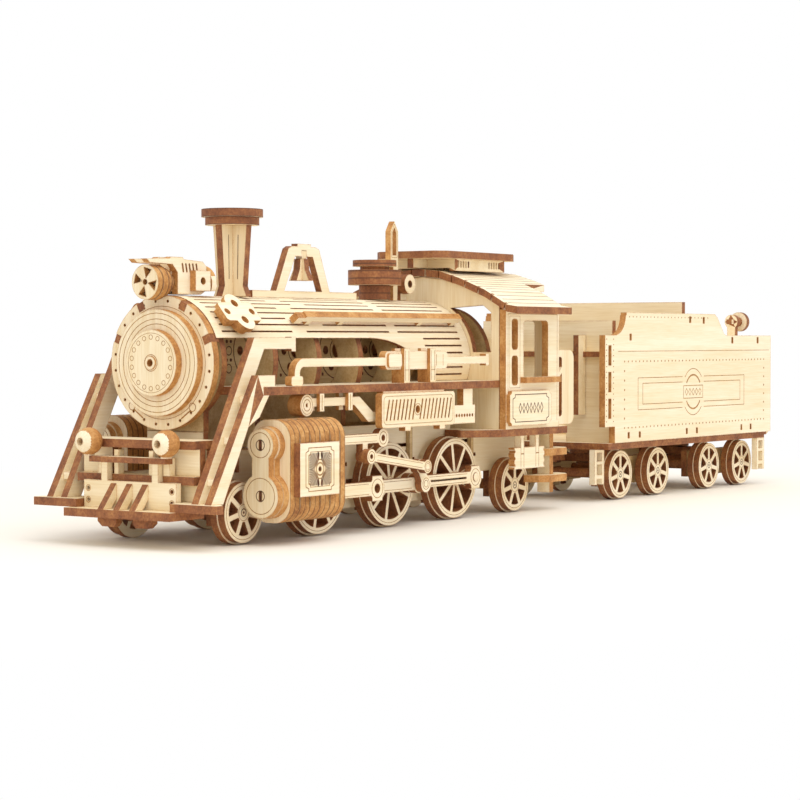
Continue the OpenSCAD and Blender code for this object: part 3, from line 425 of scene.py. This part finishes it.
def dot(bm, centre, radius, sides=10):
    place = Matrix.Translation((centre[0] * MM, centre[1] * MM, MIDDLE))
    bmesh.ops.create_cone(bm, cap_ends=True, segments=sides, radius1=radius * MM, radius2=radius * MM,
                          depth=DEPTH, matrix=place)


def outline(bm, points, width):
    for a, b in zip(points, points[1:] + points[:1]):
        bar(bm, a, b, width)


def notched_frame(low, high, notch):
    (x0, z0), (x1, z1) = low, high
    return [(x0 + notch, z0), (x1 - notch, z0), (x1 - notch, z0 + notch * 0.6), (x1, z0 + notch),
            (x1, z1 - notch), (x1 - notch, z1 - notch * 0.6), (x1 - notch, z1), (x0 + notch, z1),
            (x0 + notch, z1 - notch * 0.6), (x0, z1 - notch), (x0, z0 + notch), (x0 + notch, z0 + notch * 0.6)]


def on_side(y, sign=-1):
    # Drawing x runs along +X, drawing y along +Z, and outward is sign * Y.
    return Matrix(((1, 0, 0, 0), (0, 0, sign, sign * y * MM), (0, 1, 0, 0), (0, 0, 0, 1)))


def on_front(x, facing=-1):
    # Drawing x runs along +Y, drawing y along +Z, and outward is facing * X.
    return Matrix(((0, 0, facing, x * MM), (1, 0, 0, 0), (0, 1, 0, 0), (0, 0, 0, 1)))


def engrave(name, body, material, drawings):
    # drawings: (placing matrix, function that draws on a bmesh) pairs, gathered into one piece.
    mesh = bpy.data.meshes.new(name)
    whole = bmesh.new()
    for place, draw in drawings:
        flat = bmesh.new()
        draw(flat)
        bmesh.ops.transform(flat, matrix=place, verts=flat.verts)
        if place.to_3x3().determinant() < 0:
            bmesh.ops.reverse_faces(flat, faces=flat.faces)
        bmesh.ops.recalc_face_normals(flat, faces=flat.faces)
        part = bpy.data.meshes.new("part")
        flat.to_mesh(part)
        flat.free()
        whole.from_mesh(part)
        bpy.data.meshes.remove(part)
    whole.to_mesh(mesh)
    whole.free()
    mesh.materials.append(material)
    obj = bpy.data.objects.new(name, mesh)
    scene.collection.objects.link(obj)
    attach(obj, body)
    return obj


def both(y, draw):
    return [(on_side(y, -1), draw), (on_side(y, 1), draw)]


print("drawing depth", round(DEPTH / MM, 3), "mm")

# %% [markdown]
# The smokebox front is three stacked discs. The laser engraved concentric rings on each step, a ring
# of small bolt circles round the handle, and two latch bars low on the rim.

# %% Smokebox rings and bolts
front_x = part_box("smokebox_front")[0].x / MM
door_x = front_x - 2.0
knob_x = door_x - 2.0
axis_z = BOILER_AXIS_Z


def rim_rings(bm):
    ring(bm, (0, axis_z), 13.7, 0.14)
    for side in (-1, 1):
        ring(bm, (side * 9.6, axis_z - 10.6), 1.0, 0.2)
        bar(bm, (side * 9.0, axis_z - 11.4), (side * 6.2, axis_z - 13.4), 0.35)


def door_rings(bm):
    for radius in (12.0, 10.6, 9.4):
        ring(bm, (0, axis_z), radius, 0.16)


def knob_rings(bm):
    for i in range(18):
        a = math.radians(i * 20 + 10)
        ring(bm, (6.2 * math.cos(a), axis_z + 6.2 * math.sin(a)), 0.55, 0.14, steps=14)
    ring(bm, (0, axis_z), 2.0, 0.16)
    ring(bm, (0, axis_z), 7.2, 0.1)


engrave("smokebox_engraving", "engine", line_toast,
        [(on_front(front_x), rim_rings), (on_front(door_x), door_rings), (on_front(knob_x), knob_rings)])
print("smokebox front at", round(front_x, 1), "mm")

# %% [markdown]
# The cylinder's outer plate carries a notched frame, a fan of curved cuts and a ring in the middle.
# The end covers have one circle for each piston and one for each valve.

# %% Cylinder ornaments
plate_low, plate_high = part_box("cylinder_plates")
plate_x = (plate_low.x + plate_high.x) / 2 / MM
plate_z = (plate_low.z + plate_high.z) / 2 / MM
plate_y = plate_high.y / MM


def plate_frame(bm):
    w, h = 5.6, 5.2
    outline(bm, notched_frame((plate_x - w, plate_z - h), (plate_x + w, plate_z + h), 1.1), 0.22)
    outline(bm, notched_frame((plate_x - w + 1, plate_z - h + 1), (plate_x + w - 1, plate_z + h - 1), 0.8), 0.16)
    ring(bm, (plate_x, plate_z), 1.5, 0.35, steps=24)
    ring(bm, (plate_x, plate_z), 2.3, 0.25, steps=24)


def plate_fans(bm):
    # Arcs that open out from the four corners of the frame towards the middle bar.
    for sx in (-1, 1):
        for sz in (-1, 1):
            corner = (plate_x + sx * 4.3, plate_z + sz * 3.9)
            start = math.degrees(math.atan2(-sz, -sx)) - 45
            for k in range(7):
                ring(bm, corner, 0.6 + k * 0.55, 0.3, start=start, sweep=90, steps=9)
        bar(bm, (plate_x + sx * 0.75, plate_z - 4.1), (plate_x + sx * 0.75, plate_z - 2.4), 0.4)
        bar(bm, (plate_x + sx * 0.75, plate_z + 2.4), (plate_x + sx * 0.75, plate_z + 4.1), 0.4)


cover_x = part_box("cylinder_covers")[0].x / MM
COVER_Y = -25.7
PISTON_Z, VALVE_Z = 12.05, 24.2


def cover_circles(bm):
    ring(bm, (COVER_Y, PISTON_Z), 4.3, 0.18)
    ring(bm, (COVER_Y, VALVE_Z), 3.0, 0.18, steps=32)


def cover_slots(bm):
    for z in (PISTON_Z, VALVE_Z):
        ring(bm, (COVER_Y, z), 1.25, 0.2, steps=20)
        bar(bm, (COVER_Y, z - 0.9), (COVER_Y, z + 0.9), 0.5)


mirror_y = Matrix.Diagonal((1, -1, 1, 1))
engrave("cylinder_plate_frame", "engine", line_toast, both(plate_y, plate_frame))
engrave("cylinder_plate_fan", "engine", line_char, both(plate_y, plate_fans))
engrave("cylinder_cover_circles", "engine", line_toast,
        [(on_front(cover_x), cover_circles), (mirror_y @ on_front(cover_x), cover_circles)])
engrave("cylinder_cover_slots", "engine", line_char,
        [(on_front(cover_x), cover_slots), (mirror_y @ on_front(cover_x), cover_slots)])
print("cylinder plate centre", round(plate_x, 1), round(plate_z, 1))

# %% [markdown]
# Every wheel has a thin engraved circle inside its rim and another round its hub, with a small ring
# and a dot for the end of the axle. They ride on their own axles, so they turn with the wheels.

# %% Wheel engravings
axles = {
    "leading_axle": "leading_wheels", "driver_axle_1": "driver_wheels_1",
    "driver_axle_2": "driver_wheels_2", "driver_axle_3": "driver_wheels_3",
    "trailing_axle": "trailing_wheels",
    **{f"tender_axle_{i}": f"tender_wheels_{i}" for i in range(1, 5)},
}
WHEEL_FACE = 19.4
for body, node in axles.items():
    low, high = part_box(node)
    centre = ((low.x + high.x) / 2 / MM, (low.z + high.z) / 2 / MM)
    flange = (high.z - low.z) / 2 / MM
    tread = flange - 0.5
    rim = 1.6 if "driver" in node else 1.7

    def wheel_rings(bm):
        ring(bm, centre, tread - rim * 0.45, 0.13, steps=56)
        ring(bm, centre, 1.95, 0.12, steps=24)

    def axle_end(bm):
        ring(bm, centre, 0.9, 0.22, steps=20)
        dot(bm, centre, 0.3)

    engrave(node + "_rings", body, line_toast, both(WHEEL_FACE, wheel_rings))
    engrave(node + "_axle_ends", body, line_char, both(WHEEL_FACE, axle_end))
print("engraved", len(axles), "wheelsets")

# %% [markdown]
# The tender's sides show what a riveted steel tank looks like in thin wood: rows of small dots round
# the panel, one ruled line, a long double frame and a roundel in the middle. The roundel stays blank.

# %% Tender panels
side_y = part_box("tender_sides")[1].y / MM
RIVET = 0.36


def dot_row(bm, a, b, count, radius=RIVET):
    a, b = Vector(a), Vector(b)
    for i in range(count):
        p = a.lerp(b, i / (count - 1))
        dot(bm, (p.x, p.y), radius, sides=8)


def tender_rivets(bm):
    dot_row(bm, (36.0, 24.6), (36.0, 49.4), 16, 0.22)
    dot_row(bm, (40.2, 24.6), (40.2, 49.4), 16, 0.22)
    dot_row(bm, (50.0, 56.2), (102.0, 56.2), 24, 0.24)
    x0, x1 = 47.0, 143.5
    low, high = 22.4, 42.6
    dot_row(bm, (x0, low), (x1, low), 42, 0.3)
    dot_row(bm, (x0, high), (x1, high), 42, 0.3)
    for x in (x0, x1):
        dot_row(bm, (x, low + 2.9), (x, high - 2.9), 6, 0.34)


def tender_lines(bm):
    bar(bm, (43, 45.7), (147.5, 45.7), 0.16)
    cx, cz = 92.0, 32.6
    for half_w, half_h in ((36.5, 4.9), (33.5, 3.2)):
        for s in (-1, 1):
            bar(bm, (cx + s * half_w, cz - half_h), (cx + s * half_w, cz + half_h), 0.2)
            for t in (-1, 1):
                bar(bm, (cx + s * 7.4, cz + t * half_h), (cx + s * half_w, cz + t * half_h), 0.2)
    for t in (0, 1):
        ring(bm, (cx, cz), 7.4, 0.22, start=180 * t + 40, sweep=100, steps=20)
        ring(bm, (cx, cz), 5.4, 0.5, start=180 * t + 32, sweep=116, steps=20)
    outline(bm, [(cx - 6.6, cz - 2), (cx + 6.6, cz - 2), (cx + 6.6, cz + 2), (cx - 6.6, cz + 2)], 0.2)
    for k in range(-2, 3):
        outline(bm, [(cx + k * 2.3 - 0.9, cz), (cx + k * 2.3, cz - 1.1), (cx + k * 2.3 + 0.9, cz),
                     (cx + k * 2.3, cz + 1.1)], 0.18)


engrave("tender_rivets", "tender", line_toast, both(side_y, tender_rivets))
engrave("tender_panel_lines", "tender", line_toast, both(side_y, tender_lines))
print("tender side at Y", round(side_y, 1))

# %% [markdown]
# The cab side has a ruled margin, and under its window a raised panel whose notched frame is filled
# with a plain row of lozenges.

# %% Cab engravings
CAB_FACE = 28.0
PANEL_FACE = 29.2
cab_low, cab_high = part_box("cab_sides")
cab_x0, cab_x1 = cab_low.x / MM, cab_high.x / MM
PANEL_MIDDLE = -13.7
PANEL_Z = 30.2


def cab_lines(bm):
    for x in (cab_x0 + 1.1, cab_x1 - 1.1):
        bar(bm, (x, 26.2), (x, 56.4), 0.14)
    bar(bm, (cab_x0 + 1.1, 56.4), (cab_x1 - 1.1, 56.4), 0.14)
    outline(bm, [(-23.1, 35.9), (-17.7, 35.9), (-17.7, 55.8), (-23.1, 55.8)], 0.1)


def panel_lines(bm):
    outline(bm, notched_frame((PANEL_MIDDLE - 9.6, 26.4), (PANEL_MIDDLE + 9.6, 34.0), 1.2), 0.22)
    for k in range(-3, 4):
        x = PANEL_MIDDLE + k * 1.9
        outline(bm, [(x - 0.7, PANEL_Z), (x, PANEL_Z - 1.4), (x + 0.7, PANEL_Z), (x, PANEL_Z + 1.4)], 0.22)


engrave("cab_side_lines", "engine", line_toast, both(CAB_FACE, cab_lines))
engrave("cab_panel_frame", "engine", line_char, both(PANEL_FACE, panel_lines))
print("cab engraved from X", round(cab_x0, 1), "to", round(cab_x1, 1))

# %% [markdown]
# The side rods carry a double line along their length and a ring round each eye. They are drawn on
# the outer face of each rod, and each drawing rides on the rod's own body.

# %% Rod engravings
COUPLING_FACE, MAIN_FACE, ECCENTRIC_FACE, CROSSHEAD_FACE, RETURN_CRANK_FACE = 21.8, 24.1, 28.7, 26.7, 26.4
AXLE_Z = 11.4
CRANK_X = -61.9
REAR_PIN_X = -30.9


def eye(bm, centre, radius):
    ring(bm, centre, radius, 0.16, steps=24)


def coupling_lines(bm):
    for side in (-1, 1):
        bar(bm, (CRANK_X + 4.0, AXLE_Z + side * 1.1), (REAR_PIN_X - 4.2, AXLE_Z + side * 1.1), 0.14)
    eye(bm, (REAR_PIN_X, AXLE_Z), 2.3)


def main_lines(bm):
    for side in (-1, 1):
        bar(bm, (-80.6, AXLE_Z + side * 1.1), (CRANK_X - 3.4, AXLE_Z + side * 1.1), 0.14)


def eccentric_lines(bm):
    start, end = Vector((-89.7, 19.8)), Vector((-64.5, 16.1))
    run = (end - start).normalized()
    lift = Vector((-run.y, run.x)) * 0.6
    for side in (-1, 1):
        bar(bm, start + run * 2.6 + lift * side, end - run * 2.4 + lift * side, 0.12)
    eye(bm, start, 1.3)
    eye(bm, end, 1.35)


def crosshead_rings(bm):
    eye(bm, (-84.4, AXLE_Z), 2.4)
    for side in (-1, 1):
        bar(bm, (-103.5, AXLE_Z + side * 1.3), (-88.2, AXLE_Z + side * 1.3), 0.12)


def valve_rings(bm):
    eye(bm, (-81.8, 24.2), 1.6)
    bar(bm, (-103.5, 24.9), (-84.6, 24.9), 0.1)
    bar(bm, (-103.5, 23.5), (-84.6, 23.5), 0.1)


def return_crank_rings(bm):
    eye(bm, (CRANK_X, AXLE_Z), 1.5)
    eye(bm, (CRANK_X, AXLE_Z), 0.9)


engrave("coupling_rod_lines", "coupling_rod_set", line_toast, both(COUPLING_FACE, coupling_lines))
engrave("main_rod_lines", "main_rod_set", line_toast, both(MAIN_FACE, main_lines))
engrave("eccentric_rod_lines", "eccentric_rod_set", line_toast, both(ECCENTRIC_FACE, eccentric_lines))
engrave("crosshead_rings", "piston_set", line_toast, both(CROSSHEAD_FACE, crosshead_rings))
engrave("valve_eye_rings", "valve_set", line_toast, both(CROSSHEAD_FACE, valve_rings))
engrave("return_crank_rings", "driver_axle_2", line_toast, both(RETURN_CRANK_FACE, return_crank_rings))
print("rods engraved")

# %% [markdown]
# Thin lines also dress the fittings: two lines up each chimney vane, a border on each slotted tank,
# straps and end bands on the air tanks, straps on the toolboxes, and rings round the pilot's screws.

# %% Lines on the fittings
CHIMNEY_X = -109.8
PILOT_PLATE_X = -148.6
VANE_FACE, WEB_FACE, WHISTLE_FACE = 1.0, 1.0, 0.9
SIDE_TANK_FACE, AIR_TANK_FACE, AIR_STRAP_FACE = 28.1, 24.6, 25.6
FEED_PIPE_FACE, FEED_STRAP_FACE, TOOLBOX_FACE = 25.0, 26.0, 26.5


def vane_lines(bm, middle):
    for side in (-1, 1):
        bar(bm, (middle + side * 2.5, 64.5), (middle + side * 2.7, 75.5), 0.2)


def tank_border(bm):
    x0, x1, z0, z1, r = -83.5, -51.7, 27.6, 34.8, 1.2
    for a, b in (((x0 + r, z0), (x1 - r, z0)), ((x0 + r, z1), (x1 - r, z1)),
                 ((x0, z0 + r), (x0, z1 - r)), ((x1, z0 + r), (x1, z1 - r))):
        bar(bm, a, b, 0.13)
    for cx, cz, start in ((x0 + r, z0 + r, 180), (x1 - r, z0 + r, 270), (x1 - r, z1 - r, 0), (x0 + r, z1 - r, 90)):
        ring(bm, (cx, cz), r, 0.13, start=start, sweep=90, steps=5)
    ring(bm, (-68.2, 31.2), 1.5, 0.14, steps=20)


def air_tank_lines(bm):
    for x in (-75.8, -72.6, -54.4, -51.2):
        bar(bm, (x, 42.4), (x, 45.4), 0.13)


def air_strap_lines(bm):
    for x in (-69.5, -57.5):
        for side in (-1, 1):
            bar(bm, (x + side * 0.75, 38.6), (x + side * 0.75, 46.4), 0.13)
        bar(bm, (x - 0.9, 41.4), (x + 0.9, 41.4), 0.13)


def pipe_lines(bm):
    ring(bm, (-111.7, 33.2), 1.4, 0.18, steps=24)
    ring(bm, (-111.7, 33.2), 2.2, 0.12, steps=24)


def feed_strap_lines(bm):
    for x in (-106.9, -95.0):
        bar(bm, (x, 32.0), (x, 35.6), 0.25)


def box_straps(bm):
    for x in (-13.9, -5.9):
        for side in (-1, 1):
            bar(bm, (x + side * 0.8, 13.4), (x + side * 0.8, 21.6), 0.14)
        bar(bm, (x - 0.8, 17.2), (x + 0.8, 17.2), 0.3)


def whistle_outline(bm):
    outline(bm, [(-41.3, 72), (-41.3, 79), (-40, 81.2), (-38.7, 79), (-38.7, 72)], 0.12)


def screw_rings(bm):
    for y in (-13.2, 13.2):
        for z in (10.8, 13.6):
            ring(bm, (y, z), 0.75, 0.14, steps=16)


def web_figures(bm):
    for x in (-122, -103, -85, -67, -49):
        ring(bm, (x, 46.5), 7.6, 0.3, steps=40)
        ring(bm, (x, 46.5), 3.1, 0.25, steps=28)
        for k in range(12):
            a = math.radians(k * 30 + 15)
            dot(bm, (x + 9.0 * math.cos(a), 46.5 + 9.0 * math.sin(a)), 0.45)
    for x in (-112.5, -94, -76, -58):
        for k in range(3):
            ring(bm, (x, 42 + k * 4.5), 1.1, 0.25, steps=16)


engrave("chimney_side_lines", "engine", line_char, both(VANE_FACE, lambda bm: vane_lines(bm, CHIMNEY_X)))
engrave("chimney_front_lines", "engine", line_char,
        [(on_front(CHIMNEY_X + f, facing=f), lambda bm: vane_lines(bm, 0)) for f in (-1, 1)])
engrave("side_tank_border", "engine", line_toast, both(SIDE_TANK_FACE, tank_border))
engrave("air_tank_lines", "engine", line_toast, both(AIR_TANK_FACE, air_tank_lines))
engrave("air_tank_strap_lines", "engine", line_toast, both(AIR_STRAP_FACE, air_strap_lines))
engrave("feed_pipe_rings", "engine", line_toast, both(FEED_PIPE_FACE, pipe_lines))
engrave("feed_strap_lines", "engine", line_toast, both(FEED_STRAP_FACE, feed_strap_lines))
engrave("toolbox_straps", "engine", line_toast, both(TOOLBOX_FACE, box_straps))
engrave("whistle_outline", "engine", line_toast, both(WHISTLE_FACE, whistle_outline))
engrave("pilot_screw_rings", "engine", line_toast, [(on_front(PILOT_PLATE_X), screw_rings)])
engrave("web_figures", "engine", line_char, both(WEB_FACE, web_figures))
print("fittings engraved")

# %% [markdown]
# The bent roof sheet is ruled from front to rear, one line about every two millimetres across. The
# rows near the eaves stop short, where the sheet is cut back. Each line lies on its chord of the bend.

# %% Roof lines
ROW_PITCH = 1.9
ROOF_FRONT, ROOF_REAR, EAVE_REAR = -25.0, 13.0, 2.1
EAVE_START = 16.8
ROOF_LINE = [(0, 69.2), (7, 68.5), (13.7, 66.5), (22.2, 63.1), (29.6, 58.9), (32.8, 58.4)]
roof_rows = []
for (y0, z0), (y1, z1) in zip(ROOF_LINE[:-1], ROOF_LINE[1:-1]):
    chord = math.hypot(y1 - y0, z1 - z0)
    slope = math.atan2(z1 - z0, y1 - y0)
    rows = max(2, round(chord / ROW_PITCH))
    for k in range(rows):
        t = (k + 0.5) / rows
        place = Vector((0, y0 + (y1 - y0) * t, z0 + (z1 - z0) * t))
        rear = ROOF_REAR if place.y < EAVE_START else EAVE_REAR
        for side in (-1, 1):
            turn = Matrix.Rotation(side * slope, 4, "X")
            spot = Matrix.Translation((0, side * place.y * MM, place.z * MM))
            roof_rows.append((spot @ turn, lambda bm, rear=rear: bar(bm, (ROOF_FRONT, 0), (rear, 0), 0.17)))
engrave("roof_slat_lines", "engine", line_char, roof_rows)
print("roof rows:", len(roof_rows))
